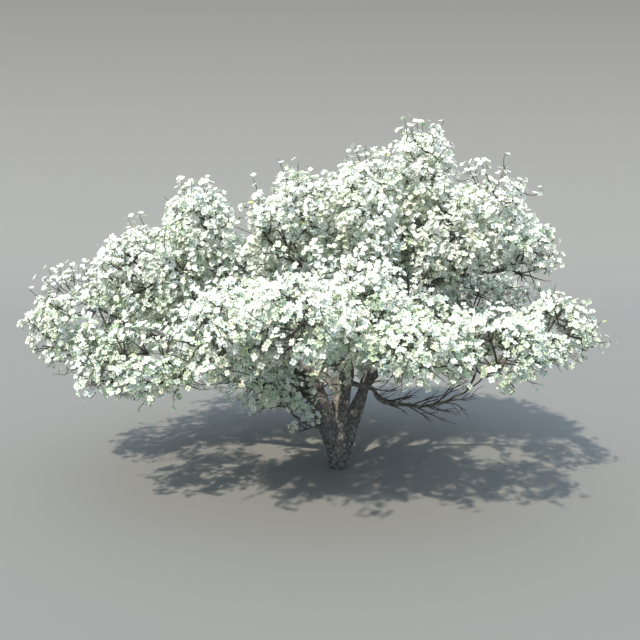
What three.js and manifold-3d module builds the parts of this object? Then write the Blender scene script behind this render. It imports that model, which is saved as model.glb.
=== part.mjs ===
// A small, wide flowering dogwood in full blossom, rooted in level ground.
// Millimetres, +Z up. The origin is the middle of the flat cut under the trunk.
// The trunk forks low into four stems, each stem carries boughs, and every bough
// ends where it enters one mass of twigs and blossom.
import * as THREE from 'three';
import { mergeVertices } from 'three/addons/utils/BufferGeometryUtils.js';
import Module from 'manifold-3d';

const wasm = await Module();
wasm.setup();

// ---- driving dimensions ----
const gap = 0.3; // clear space where two solids meet
const roomRound = 0.45; // the same, added to the radius of a faceted limb
const cutDepth = 30; // how far the stems start below the cut, before it is made
const cutWidth = 1000; // more than the foot of the trunk
const stemSides = 12;
const stemSteps = 6;
const boughSides = 8;
const boughSteps = 6;

// the twigs of a mass, first the branches and then the spurs between them
const levels = [
  { count: 12, near: 0.8, far: 0.96, jointed: true },
  { count: 16, near: 0.55, far: 0.95, jointed: false },
];
const goldenAngle = Math.PI * (3 - Math.sqrt(5));
const turnSpread = 0.7; // how far a twig's end strays round the space, radians
const runShare = 0.35; // how much a long way back to the bough counts against a joint
const heartDrop = 0.25; // the stem of a mass ends this share of its height below its middle
const stemStraight = 0.5; // the share of its way that the stem goes on as the bough did
const stemJointShares = [0.36, 0.68, 0.95]; // where twigs leave the stem
const branchJointShare = 0.5; // where spurs leave a branch
const branchJointTaper = 0.75; // a branch has thinned to this share there
const jointTries = 3; // joints tried for an end, the shortest way first
const endTurn = 0.4; // the last part of a twig, which points the way its spray faces
const twigTaper = 0.5; // the stem thins to this share, and a branch starts with that
const twigEndRadius = 2.6;
const jointLength = 2.4; // a joint is this many times as long as its radius
const twigSides = 3;
const leastLean = 0.25; // a twig leaves a face that looks at least this much its way

// the blossom, each one standing for a spray of smaller ones
const sprayNear = 60; // from the middle of a spray to its corners
const sprayFar = 78;
const sprayCup = 0.14; // how far the corners rise, as a share of that
const sprayThickness = 5;
const sprayCorners = 4;
const sprayLift = 0.45; // how much a spray turns up to the sky
const sprayStray = 0.5; // how much a spray turns at random
const spraySizes = [1, 0.85, 0.7, 0.55]; // tried in turn until the spray fits
const spraySpins = [0, 0.4, -0.4];
const pullBacks = [1, 0.87, 0.74]; // and a twig that doesn't fit is drawn back by these

// how strictly a mass keeps to its own space
const neighbourMargin = 0.05;
const twigLimit = 1;
const sprayLimit = 1.05;
const limbMargin = 5;

const barkColour = 0x5b5149;
const blossomColour = 0xe6ecdc;

const point = (x, y, z) => new THREE.Vector3(x, y, z);

// ---- the stems of the trunk: points up the middle of each, with its radius there ----
const stems = {
  left: [
    [-4, -4, -cutDepth, 31],
    [-4, -4, 0, 33],
    [-18, -10, 110, 44],
    [-46, -20, 190, 44],
    [-74, -28, 265, 38],
    [-95, -32, 330, 32],
  ],
  middle: [
    [2, -6, -cutDepth, 31],
    [2, -6, 0, 33],
    [8, -12, 120, 37],
    [15, -18, 225, 25],
    [26, -22, 300, 20],
    [36, -24, 360, 18],
  ],
  right: [
    [6, 4, -cutDepth, 31],
    [6, 4, 0, 33],
    [30, 4, 120, 37],
    [62, 4, 215, 30],
    [90, 2, 290, 22],
    [103, 0, 335, 19],
  ],
  back: [
    [0, 8, -cutDepth, 31],
    [0, 8, 0, 33],
    [0, 26, 120, 38],
    [4, 62, 215, 32],
    [6, 100, 300, 27],
  ],
};

// ---- the boughs ----
// Each one carries on from the end of a stem, or leaves the side of an earlier limb
// at a share of that limb's length. It passes through the points given and tapers
// from its first radius to its last.
const boughs = [
  { name: 'bough_left_far', stem: 'left', radii: [31, 9],
    via: [[-210, -20, 400], [-420, 0, 450], [-615, 10, 495], [-760, 5, 525]] },
  { name: 'bough_left_low', from: 'left', at: 0.8, radii: [17, 8],
    via: [[-155, -115, 335], [-260, -210, 380], [-375, -295, 420], [-445, -340, 445]] },
  { name: 'bough_left_inner', from: 'bough_left_far', at: 0.08, radii: [13, 7],
    via: [[-185, 35, 470], [-230, 80, 540], [-275, 110, 600]] },
  { name: 'bough_left_front', from: 'bough_left_far', at: 0.05, radii: [15, 8],
    via: [[-170, -155, 430], [-220, -265, 490], [-265, -370, 545]] },
  { name: 'bough_left_middle', from: 'bough_left_far', at: 0.3, radii: [15, 8],
    via: [[-360, 15, 510], [-495, 30, 590], [-595, 35, 655]] },
  { name: 'bough_left_upper', from: 'bough_left_far', at: 0.14, radii: [15, 7],
    via: [[-270, 15, 530], [-375, 45, 660], [-470, 70, 800]] },
  { name: 'bough_front_upper', stem: 'middle', radii: [17, 8],
    via: [[40, -95, 430], [55, -185, 505], [60, -275, 555]] },
  { name: 'bough_middle', from: 'bough_front_upper', at: 0.12, radii: [13, 8],
    via: [[15, -30, 485], [-50, -20, 625], [-110, -20, 745]] },
  { name: 'bough_centre_upper', from: 'bough_front_upper', at: 0.3, radii: [12, 7],
    via: [[65, -60, 580], [70, -50, 690], [80, -55, 800]] },
  { name: 'bough_front', from: 'middle', at: 0.78, radii: [14, 8],
    via: [[10, -110, 400], [-25, -240, 500], [-75, -405, 610]] },
  { name: 'bough_right_low', from: 'middle', at: 0.96, radii: [10, 5],
    via: [[121, -100, 334], [143, -130, 306], [191, -180, 301], [295, -280, 314],
      [358, -350, 362]] },
  { name: 'bough_top', stem: 'right', radii: [18, 8],
    via: [[130, 15, 480], [165, 40, 640], [210, 60, 810], [260, 70, 1010]] },
  { name: 'bough_top_right', from: 'bough_top', at: 0.3, radii: [13, 8],
    via: [[225, 40, 595], [300, 35, 685], [350, 30, 740]] },
  { name: 'bough_right_middle', from: 'bough_top', at: 0.18, radii: [13, 7],
    via: [[210, 10, 570], [325, 0, 710], [440, -5, 745], [595, 5, 765]] },
  { name: 'bough_right_upper', from: 'bough_right_middle', at: 0.66, radii: [9, 6],
    via: [[490, -15, 785], [535, -20, 830]] },
  { name: 'bough_right_far', from: 'right', at: 0.94, radii: [15, 8],
    via: [[175, -20, 410], [310, -40, 470], [445, -65, 515], [570, -100, 545]] },
  { name: 'bough_front_right', from: 'bough_right_far', at: 0.12, radii: [12, 7],
    via: [[175, -85, 435], [180, -195, 480], [175, -320, 520]] },
  { name: 'bough_right_back', from: 'bough_right_far', at: 0.3, radii: [12, 8],
    via: [[315, 135, 455], [395, 235, 505], [450, 310, 530]] },
  { name: 'bough_back', stem: 'back', radii: [26, 9],
    via: [[-20, 205, 400], [-55, 315, 475], [-85, 400, 520]] },
  { name: 'bough_back_left', from: 'back', at: 0.9, radii: [17, 8],
    via: [[-110, 195, 385], [-245, 295, 455], [-350, 350, 495]] },
  { name: 'bough_back_right', from: 'back', at: 0.92, radii: [16, 8],
    via: [[60, 205, 385], [120, 305, 440], [170, 395, 490]] },
  { name: 'bough_back_upper', from: 'bough_back', at: 0.22, radii: [14, 7],
    via: [[20, 215, 520], [45, 260, 615], [65, 300, 705]] },
  { name: 'bough_left_under', from: 'left', at: 0.5, radii: [9, 5],
    via: [[-125, -85, 200], [-160, -135, 240]] },
];

// ---- the masses of blossom: the middle and the reach of the space that each one fills ----
const masses = [
  { name: 'blossom_top', bough: 'bough_top', middle: [305, 80, 1140], reach: [120, 200, 190] },
  { name: 'blossom_top_right', bough: 'bough_top_right',
    middle: [395, 20, 895], reach: [175, 220, 190] },
  { name: 'blossom_right_upper', bough: 'bough_right_upper',
    middle: [545, -30, 980], reach: [150, 210, 175] },
  { name: 'blossom_right_middle', bough: 'bough_right_middle',
    middle: [685, 20, 830], reach: [125, 180, 125] },
  { name: 'blossom_middle', bough: 'bough_middle', middle: [-170, -20, 930], reach: [185, 240, 190] },
  { name: 'blossom_centre_upper', bough: 'bough_centre_upper',
    middle: [95, -60, 1000], reach: [120, 210, 190] },
  { name: 'blossom_left_upper', bough: 'bough_left_upper',
    middle: [-535, 80, 935], reach: [130, 180, 155] },
  { name: 'blossom_left_middle', bough: 'bough_left_middle',
    middle: [-720, 40, 760], reach: [210, 230, 185] },
  { name: 'blossom_left_inner', bough: 'bough_left_inner',
    middle: [-345, 150, 705], reach: [180, 215, 160] },
  { name: 'blossom_left_far', bough: 'bough_left_far', middle: [-955, 0, 575], reach: [205, 250, 200] },
  { name: 'blossom_left_low', bough: 'bough_left_low',
    middle: [-670, -360, 485], reach: [205, 220, 125] },
  { name: 'blossom_left_front', bough: 'bough_left_front',
    middle: [-360, -520, 620], reach: [165, 220, 155] },
  { name: 'blossom_front', bough: 'bough_front', middle: [-155, -620, 670], reach: [160, 220, 135] },
  { name: 'blossom_front_upper', bough: 'bough_front_upper',
    middle: [75, -420, 670], reach: [200, 210, 185] },
  { name: 'blossom_front_right', bough: 'bough_front_right',
    middle: [225, -520, 580], reach: [205, 220, 130] },
  { name: 'blossom_right_low', bough: 'bough_right_low',
    middle: [480, -520, 565], reach: [160, 220, 115] },
  { name: 'blossom_right_far', bough: 'bough_right_far',
    middle: [755, -100, 565], reach: [175, 260, 140] },
  { name: 'blossom_right_back', bough: 'bough_right_back',
    middle: [600, 420, 585], reach: [220, 250, 185] },
  { name: 'blossom_back_left', bough: 'bough_back_left',
    middle: [-605, 460, 585], reach: [325, 280, 230] },
  { name: 'blossom_back', bough: 'bough_back', middle: [-150, 640, 605], reach: [320, 260, 260] },
  { name: 'blossom_back_right', bough: 'bough_back_right',
    middle: [290, 600, 600], reach: [260, 270, 240] },
  { name: 'blossom_back_upper', bough: 'bough_back_upper',
    middle: [100, 340, 935], reach: [275, 230, 225] },
  { name: 'blossom_left_under', bough: 'bough_left_under',
    middle: [-205, -200, 365], reach: [170, 150, 105] },
];

// ---- seeded numbers from 0 to 1 ----
function seededDraw(seed) {
  let state = seed;
  return () => {
    state = (state + 0x6d2b79f5) >>> 0;
    let bits = Math.imul(state ^ (state >>> 15), state | 1);
    bits ^= bits + Math.imul(bits ^ (bits >>> 7), bits | 61);
    return ((bits ^ (bits >>> 14)) >>> 0) / 2 ** 32;
  };
}

// ---- solids ----
function closedGeometry(corners, faces) {
  const geometry = new THREE.BufferGeometry();
  geometry.setAttribute('position', new THREE.Float32BufferAttribute(corners, 3));
  geometry.setIndex(faces);
  return geometry;
}

// A tapering limb with flat ends: rings round a curve, the radius read off by its length.
function limbGeometry(curve, radiusAt, sides, steps, extra = 0) {
  const frames = curve.computeFrenetFrames(steps, false);
  const corners = [];
  const faces = [];
  for (let step = 0; step <= steps; step += 1) {
    const share = step / steps;
    const middle = curve.getPointAt(share);
    const radius = radiusAt(share) + extra;
    for (let side = 0; side < sides; side += 1) {
      const turn = (2 * Math.PI * side) / sides;
      const corner = middle.clone()
        .addScaledVector(frames.normals[step], radius * Math.cos(turn))
        .addScaledVector(frames.binormals[step], radius * Math.sin(turn));
      corners.push(corner.x, corner.y, corner.z);
    }
  }
  for (let step = 0; step < steps; step += 1) {
    for (let side = 0; side < sides; side += 1) {
      const next = (side + 1) % sides;
      const low = step * sides;
      const high = low + sides;
      faces.push(low + side, low + next, high + next);
      faces.push(low + side, high + next, high + side);
    }
  }
  const last = steps * sides;
  for (let side = 1; side < sides - 1; side += 1) {
    faces.push(0, side + 1, side);
    faces.push(last, last + side, last + side + 1);
  }
  return closedGeometry(corners, faces);
}

// square to a direction, and level unless that is nearly upright
function acrossVector(onward) {
  const nearlyUpright = Math.abs(onward.z) > 0.9;
  const away = nearlyUpright ? point(1, 0, 0) : point(0, 0, 1);
  return away.cross(onward).normalize();
}

// ---- joining and cutting ----
function toSolid(geometry) {
  const closed = mergeVertices(geometry);
  const vertProperties = new Float32Array(closed.getAttribute('position').array);
  const triVerts = new Uint32Array(closed.index.array);
  return new wasm.Manifold(new wasm.Mesh({ numProp: 3, vertProperties, triVerts }));
}

function toGeometry(solid) {
  const mesh = solid.getMesh();
  return closedGeometry(Array.from(mesh.vertProperties), Array.from(mesh.triVerts));
}

function joined(solids) {
  return solids.reduce((whole, solid) => whole.add(solid));
}

// the one connected body, without scraps or sealed hollows
function mainBody(solid) {
  const bodies = solid.decompose();
  return bodies.reduce((best, body) => (body.volume() > best.volume() ? body : best));
}

// ---- limbs ----
const limbs = {}; // name to curve, radius by share of length, and section

function addLimb(name, points, radiusAt, sides, steps) {
  const curve = new THREE.CatmullRomCurve3(points, false, 'centripetal');
  limbs[name] = { name, curve, radiusAt, sides, steps };
  return limbs[name];
}

function limbSolid(limb, extra = 0) {
  return toSolid(limbGeometry(limb.curve, limb.radiusAt, limb.sides, limb.steps, extra));
}

// radius by share of length, through radii stated at the curve's own points
function radiusThrough(points, radii) {
  const runs = [0];
  for (let i = 1; i < points.length; i += 1) {
    runs.push(runs[i - 1] + points[i].distanceTo(points[i - 1]));
  }
  const whole = runs[runs.length - 1];
  return (share) => {
    const run = share * whole;
    let i = 1;
    while (i < runs.length - 1 && runs[i] < run) i += 1;
    const between = (run - runs[i - 1]) / (runs[i] - runs[i - 1]);
    return THREE.MathUtils.lerp(radii[i - 1], radii[i], between);
  };
}

function makeStem(name) {
  const points = stems[name].map(([x, y, z]) => point(x, y, z));
  const radii = stems[name].map((entry) => entry[3]);
  return addLimb(name, points, radiusThrough(points, radii), stemSides, stemSteps);
}

function makeTrunk() {
  const whole = joined(Object.keys(stems).map((name) => limbSolid(makeStem(name))));
  const below = new THREE.BoxGeometry(cutWidth, cutWidth, 2 * cutDepth);
  below.deleteAttribute('normal');
  below.deleteAttribute('uv');
  below.translate(0, 0, -cutDepth);
  return whole.subtract(toSolid(below));
}

// Side boughs are cut back to leave room round every limb that is there already.
function makeBough(bough) {
  const via = bough.via.map(([x, y, z]) => point(x, y, z));
  const [thick, thin] = bough.radii;
  const radiusAt = (share) => THREE.MathUtils.lerp(thick, thin, share);
  const parent = limbs[bough.stem ?? bough.from];
  const earlier = Object.values(limbs).filter((limb) => limb.name !== bough.stem);
  let limb;
  if (bough.stem) {
    const end = parent.curve.getPointAt(1);
    const onward = parent.curve.getTangentAt(1);
    const start = end.clone().addScaledVector(onward, gap);
    const leave = end.clone().addScaledVector(onward, 2 * thick);
    limb = addLimb(bough.name, [start, leave, ...via], radiusAt, stemSides, boughSteps);
  } else {
    const start = parent.curve.getPointAt(bough.at);
    limb = addLimb(bough.name, [start, ...via], radiusAt, boughSides, boughSteps);
  }
  const cut = earlier.reduce((left, other) => left.subtract(limbSolid(other, roomRound)), limbSolid(limb));
  return mainBody(cut);
}

// ---- keeping clear of limbs and of other masses ----
const limbSamples = []; // points along every limb, with its radius there
const sampleStep = 12;

function sampleLimbs() {
  for (const limb of Object.values(limbs)) {
    const count = Math.ceil(limb.curve.getLength() / sampleStep);
    for (let i = 0; i <= count; i += 1) {
      const share = i / count;
      limbSamples.push({ middle: limb.curve.getPointAt(share), radius: limb.radiusAt(share) });
    }
  }
}

function twigIsClear(here, room) {
  return limbSamples.every(({ middle, radius }) => here.distanceTo(middle) > radius + room);
}

function sprayIsClear(middle, normal, size) {
  return limbSamples.every((sample) => {
    const away = sample.middle.clone().sub(middle);
    const height = away.dot(normal);
    const aside = Math.sqrt(Math.max(0, away.lengthSq() - height * height));
    const tall = sample.radius + limbMargin;
    return aside > size + sample.radius || height < -tall || height > tall + size * sprayCup;
  });
}

function shareOfReach(here, mass) {
  const x = (here.x - mass.middle[0]) / mass.reach[0];
  const y = (here.y - mass.middle[1]) / mass.reach[1];
  const z = (here.z - mass.middle[2]) / mass.reach[2];
  return Math.sqrt(x * x + y * y + z * z);
}

function inOwnSpace(here, mass, limit) {
  const own = shareOfReach(here, mass);
  if (own > limit || here.z <= 0) return false;
  return masses.every((other) => other === mass || shareOfReach(here, other) > own + neighbourMargin);
}

// ---- the skin of a mass ----
// A mass is one closed skin of triangles. A twig grows out of one triangle of the limb
// that carries it, ring by ring, and its last ring opens into a cupped spray.
function ringRound(here, onward, radius, guide) {
  const first = guide.clone().projectOnPlane(onward).normalize();
  const second = onward.clone().cross(first);
  const ring = [];
  for (let side = 0; side < twigSides; side += 1) {
    const turn = (2 * Math.PI * side) / twigSides;
    ring.push(here.clone()
      .addScaledVector(first, radius * Math.cos(turn))
      .addScaledVector(second, radius * Math.sin(turn)));
  }
  return ring;
}

function sideFaces(low, high) {
  const faces = [];
  for (let side = 0; side < twigSides; side += 1) {
    const next = (side + 1) % twigSides;
    faces.push([low[side], low[next], high[next]], [low[side], high[next], high[side]]);
  }
  return faces;
}

// the underside from a ring of three to a rim of four, and the hollow top
function sprayFaces([a, b, c], [p, q, r, s], top) {
  return [
    [a, q, p], [a, b, q], [b, r, q], [b, c, r], [c, s, r], [c, a, s], [a, p, s],
    [p, q, top], [q, r, top], [r, s, top], [s, p, top],
  ];
}

// Stations are the places of the rings. What comes back is a draft: nothing is added
// to the skin until the draft is known to be clear of it.
function draftTwig(skin, root, stations, spray) {
  const draft = { root, corners: [], faces: [], joints: [] };
  const number = (corner) => skin.corners.length + draft.corners.push(corner) - 1;
  const rootCorners = root.map((i) => skin.corners[i]);
  const middle = rootCorners.reduce((sum, corner) => sum.add(corner), point(0, 0, 0));
  let guide = rootCorners[0].clone().sub(middle.divideScalar(twigSides));
  let ring = root;
  for (const station of stations) {
    const corners = ringRound(station.here, station.onward, station.radius, guide);
    const next = corners.map(number);
    const faces = sideFaces(ring, next);
    draft.faces.push(...faces);
    if (station.joint) draft.joints.push({ ...station.joint, faces });
    guide = corners[0].sub(station.here).clone();
    corners[0].add(station.here);
    ring = next;
  }
  draft.end = ring;
  if (spray) addSpray(draft, ring, spray, guide, number);
  return draft;
}

function addSpray(draft, ring, { here, normal, size, spin }, guide, number) {
  const across = guide.clone().projectOnPlane(normal).normalize();
  const along = normal.clone().cross(across);
  draft.rim = [];
  for (let side = 0; side < sprayCorners; side += 1) {
    const turn = spin + (2 * Math.PI * side) / sprayCorners;
    draft.rim.push(here.clone()
      .addScaledVector(across, size * Math.cos(turn))
      .addScaledVector(along, size * Math.sin(turn))
      .addScaledVector(normal, size * sprayCup));
  }
  const top = number(here.clone().addScaledVector(normal, sprayThickness));
  draft.faces.push(...sprayFaces(ring, draft.rim.map(number), top));
}

const ray = new THREE.Ray();
const meeting = point(0, 0, 0);

function edgeMeets(from, to, [a, b, c]) {
  const length = from.distanceTo(to);
  ray.set(from, to.clone().sub(from).divideScalar(length));
  if (!ray.intersectTriangle(a, b, c, false, meeting)) return false;
  return meeting.distanceTo(from) <= length;
}

function trianglesMeet(one, two) {
  for (let i = 0; i < 3; i += 1) {
    if (edgeMeets(one[i], one[(i + 1) % 3], two)) return true;
    if (edgeMeets(two[i], two[(i + 1) % 3], one)) return true;
  }
  return false;
}

function draftIsClear(skin, draft) {
  const corners = [...skin.corners, ...draft.corners];
  const boxOf = (face) => new THREE.Box3().setFromPoints(face.map((i) => corners[i]));
  const others = [...skin.faces.filter((face) => face !== draft.root), ...draft.faces];
  const otherBoxes = others.map(boxOf);
  return draft.faces.every((face) => {
    const box = boxOf(face);
    const triangle = face.map((i) => corners[i]);
    return others.every((other, i) => {
      if (!box.intersectsBox(otherBoxes[i]) || face.some((corner) => other.includes(corner))) return true;
      return !trianglesMeet(triangle, other.map((number) => corners[number]));
    });
  });
}

function addDraft(skin, draft) {
  skin.faces = skin.faces.filter((face) => face !== draft.root);
  skin.faces.push(...draft.faces);
  skin.corners.push(...draft.corners);
}

// ---- the growth of one mass ----
// The stem runs from the bough's tip to the heart of the space. Twig ends are spread
// evenly round the space, and the nearest first, each one grows from the joint that it
// reaches by the shortest way, counting the way back to the bough.
function bezier([from, by, to], share) {
  const rest = 1 - share;
  return from.clone().multiplyScalar(rest * rest)
    .addScaledVector(by, 2 * rest * share)
    .addScaledVector(to, share * share);
}

function bezierTangent([from, by, to], share) {
  return by.clone().sub(from).multiplyScalar(1 - share)
    .addScaledVector(to.clone().sub(by), share)
    .normalize();
}

function jointStations(path, share, radius, run) {
  const here = bezier(path, share);
  const onward = bezierTangent(path, share);
  const half = (jointLength * radius) / 2;
  return [
    { here: here.clone().addScaledVector(onward, -half), onward, radius },
    { here: here.clone().addScaledVector(onward, half), onward, radius,
      joint: { here, run: run + path[0].distanceTo(here) } },
  ];
}

function growStem(mass, bough) {
  const thick = bough.radiusAt(1);
  const tip = bough.curve.getPointAt(1);
  const onward = bough.curve.getTangentAt(1);
  const start = tip.clone().addScaledVector(onward, gap);
  const heart = point(...mass.middle);
  heart.z -= heartDrop * mass.reach[2];
  const bend = start.clone().addScaledVector(onward, stemStraight * start.distanceTo(heart));
  const path = [start, bend, heart];
  const guide = acrossVector(onward);
  const skin = { corners: ringRound(start, onward, thick, guide), faces: [[0, 2, 1], [0, 1, 2]] };
  const stations = stemJointShares.flatMap((share) => {
    const radius = thick * THREE.MathUtils.lerp(1, twigTaper, share);
    return jointStations(path, share, radius, 0);
  });
  const draft = draftTwig(skin, skin.faces[1], stations, null);
  draft.faces.push(draft.end);
  addDraft(skin, draft);
  return { skin, joints: draft.joints, start };
}

function twigEnds(mass, level, draw, start) {
  const ends = [];
  const firstTurn = 2 * Math.PI * draw();
  for (let i = 0; i < level.count; i += 1) {
    const height = 1 - (2 * (i + 0.5)) / level.count;
    const turn = firstTurn + i * goldenAngle + turnSpread * (draw() - 0.5);
    const far = THREE.MathUtils.lerp(level.near, level.far, draw());
    const ring = Math.sqrt(1 - height * height);
    const outward = point(ring * Math.cos(turn), ring * Math.sin(turn), height);
    const here = outward.clone().multiplyScalar(far).multiply(point(...mass.reach));
    const stray = point(draw() - 0.5, draw() - 0.5, draw() - 0.5).multiplyScalar(sprayStray);
    const normal = outward.add(stray).add(point(0, 0, sprayLift)).normalize();
    const size = THREE.MathUtils.lerp(sprayNear, sprayFar, draw());
    ends.push({ here: here.add(point(...mass.middle)), normal, size });
  }
  return ends.sort((a, b) => a.here.distanceTo(start) - b.here.distanceTo(start));
}

function jointsByWay(joints, here) {
  const way = (joint) => joint.here.distanceTo(here) + runShare * joint.run;
  return [...joints].sort((a, b) => way(a) - way(b));
}

function faceNormal(skin, face) {
  const [a, b, c] = face.map((i) => skin.corners[i]);
  return b.clone().sub(a).cross(c.clone().sub(a)).normalize();
}

// the triangle of a joint that looks most the way that a twig leaves it
function rootFace(skin, joint, onward) {
  let best = null;
  let most = leastLean;
  for (const face of joint.faces) {
    const lean = skin.faces.includes(face) ? faceNormal(skin, face).dot(onward) : -1;
    if (lean > most) {
      most = lean;
      best = face;
    }
  }
  return best;
}

function growTwig(skin, mass, level, end, joint, startRadius) {
  const { normal } = end;
  for (const pull of pullBacks) {
    const here = joint.here.clone().lerp(end.here, pull);
    const length = here.distanceTo(joint.here);
    const bend = here.clone().addScaledVector(normal, -endTurn * length);
    const path = [joint.here, bend, here];
    const root = rootFace(skin, joint, bezierTangent(path, 0));
    const halfWay = bezier(path, 0.5);
    const fits = root && [halfWay, here].every((place) => (
      inOwnSpace(place, mass, twigLimit) && twigIsClear(place, limbMargin)));
    if (fits) {
      const stations = level.jointed
        ? jointStations(path, branchJointShare, startRadius * branchJointTaper, joint.run) : [];
      stations.push({ here, onward: normal, radius: twigEndRadius });
      for (const scale of spraySizes) {
        for (const spin of spraySpins) {
          const size = end.size * scale;
          const draft = draftTwig(skin, root, stations, { here, normal, size, spin });
          const inSpace = draft.rim.every((corner, i) => {
            const edge = corner.clone().lerp(draft.rim[(i + 1) % sprayCorners], 0.5);
            return inOwnSpace(corner, mass, sprayLimit) && inOwnSpace(edge, mass, sprayLimit);
          });
          if (inSpace && sprayIsClear(here, normal, size) && draftIsClear(skin, draft)) return draft;
        }
      }
    }
  }
  return null;
}

function makeMass(mass, seed) {
  const draw = seededDraw(seed);
  const bough = limbs[mass.bough];
  const { skin, joints, start } = growStem(mass, bough);
  for (const level of levels) {
    for (const end of twigEnds(mass, level, draw, start)) {
      for (const joint of jointsByWay(joints, end.here).slice(0, jointTries)) {
        const draft = growTwig(skin, mass, level, end, joint, bough.radiusAt(1) * twigTaper);
        if (draft) {
          addDraft(skin, draft);
          joints.push(...draft.joints);
          break;
        }
      }
    }
  }
  const corners = skin.corners.flatMap((corner) => corner.toArray());
  return closedGeometry(corners, skin.faces.flat());
}

// ---- the tree ----
const barkMaterial = new THREE.MeshStandardMaterial({
  color: barkColour, roughness: 0.9, metalness: 0 });
const blossomMaterial = new THREE.MeshStandardMaterial({
  color: blossomColour, roughness: 0.6, metalness: 0 });

const group = new THREE.Group();

function addMesh(name, geometry, material) {
  const mesh = new THREE.Mesh(geometry, material.clone());
  mesh.name = name;
  group.add(mesh);
}

addMesh('trunk', toGeometry(makeTrunk()), barkMaterial);
for (const bough of boughs) addMesh(bough.name, toGeometry(makeBough(bough)), barkMaterial);
sampleLimbs();
masses.forEach((mass, i) => addMesh(mass.name, makeMass(mass, i + 1), blossomMaterial));

export default group;
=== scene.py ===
import math

import bpy
import numpy as np
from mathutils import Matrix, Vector, kdtree, noise


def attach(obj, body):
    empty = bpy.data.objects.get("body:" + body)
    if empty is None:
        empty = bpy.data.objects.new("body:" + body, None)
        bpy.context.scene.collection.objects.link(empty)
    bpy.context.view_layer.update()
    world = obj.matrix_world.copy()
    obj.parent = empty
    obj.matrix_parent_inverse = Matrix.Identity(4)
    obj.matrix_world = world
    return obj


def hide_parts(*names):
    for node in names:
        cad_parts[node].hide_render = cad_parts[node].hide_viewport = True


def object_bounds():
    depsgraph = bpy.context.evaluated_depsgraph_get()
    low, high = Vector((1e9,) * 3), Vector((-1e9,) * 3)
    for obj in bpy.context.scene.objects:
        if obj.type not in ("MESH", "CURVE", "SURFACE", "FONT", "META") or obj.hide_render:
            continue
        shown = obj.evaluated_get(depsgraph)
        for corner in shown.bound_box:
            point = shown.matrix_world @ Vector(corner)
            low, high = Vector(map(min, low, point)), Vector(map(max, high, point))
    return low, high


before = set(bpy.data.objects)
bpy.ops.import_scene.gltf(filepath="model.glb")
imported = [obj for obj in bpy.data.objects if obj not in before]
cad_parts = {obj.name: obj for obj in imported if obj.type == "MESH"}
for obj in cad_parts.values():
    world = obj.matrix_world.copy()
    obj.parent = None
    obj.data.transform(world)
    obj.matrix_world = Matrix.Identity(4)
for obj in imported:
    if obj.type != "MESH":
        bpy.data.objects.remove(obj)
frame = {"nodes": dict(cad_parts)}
cadBox = [list(corner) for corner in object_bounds()]
noise.seed_set(1)  # noise_vector would otherwise differ from run to run


def normalized(vectors):
    vectors = np.asarray(vectors, float)
    return vectors / np.linalg.norm(vectors, axis=-1, keepdims=True)


def blend(low, high, share):
    return low + (high - low) * share


def deselectAll():
    for thing in bpy.context.selected_objects:
        thing.select_set(False)


# sRGB hex to the linear colour that the shader nodes take
def linearColour(hexColour):
    channels = [int(hexColour[i:i + 2], 16) / 255 for i in (1, 3, 5)]
    return [c / 12.92 if c <= 0.04045 else ((c + 0.055) / 1.055) ** 2.4 for c in channels] + [1]


# adds a shader node, sets its fields and sockets, and links what is given as (node, output)
def addNode(tree, kind, fields=None, inputs=None, links=None):
    node = tree.nodes.new("ShaderNode" + kind)
    for field, value in (fields or {}).items():
        setattr(node, field, value)
    for socket, value in (inputs or {}).items():
        node.inputs[socket].default_value = value
    for socket, (source, output) in (links or {}).items():
        tree.links.new(source.outputs[output], node.inputs[socket])
    return node


def newMaterial(name):
    material = bpy.data.materials.new(name)
    material.use_nodes = True
    material.node_tree.nodes.clear()
    return material


# one plain finish, its colour the same all over
def plainMaterial(name, hexColour, roughness, ior=1.45):
    material = newMaterial(name)
    tree = material.node_tree
    surface = addNode(tree, "BsdfPrincipled", inputs={
        "Base Color": linearColour(hexColour), "Roughness": roughness, "IOR": ior})
    addNode(tree, "OutputMaterial", links={"Surface": (surface, "BSDF")})
    return material


# the limbs: stems of the trunk, then boughs, in metres

# points up the middle of each stem, with its radius there
stems = {
    "left": [(-0.004, -0.004, -0.03, 0.031), (-0.004, -0.004, 0, 0.033),
             (-0.018, -0.01, 0.11, 0.044), (-0.046, -0.02, 0.19, 0.044),
             (-0.074, -0.028, 0.265, 0.038), (-0.095, -0.032, 0.33, 0.032)],
    "middle": [(0.002, -0.006, -0.03, 0.031), (0.002, -0.006, 0, 0.033),
               (0.008, -0.012, 0.12, 0.037), (0.015, -0.018, 0.225, 0.025),
               (0.026, -0.022, 0.3, 0.02), (0.036, -0.024, 0.36, 0.018)],
    "right": [(0.006, 0.004, -0.03, 0.031), (0.006, 0.004, 0, 0.033),
              (0.03, 0.004, 0.12, 0.037), (0.062, 0.004, 0.215, 0.03),
              (0.09, 0.002, 0.29, 0.022), (0.103, 0, 0.335, 0.019)],
    "back": [(0, 0.008, -0.03, 0.031), (0, 0.008, 0, 0.033),
             (0, 0.026, 0.12, 0.038), (0.004, 0.062, 0.215, 0.032),
             (0.006, 0.1, 0.3, 0.027)],
}

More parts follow.
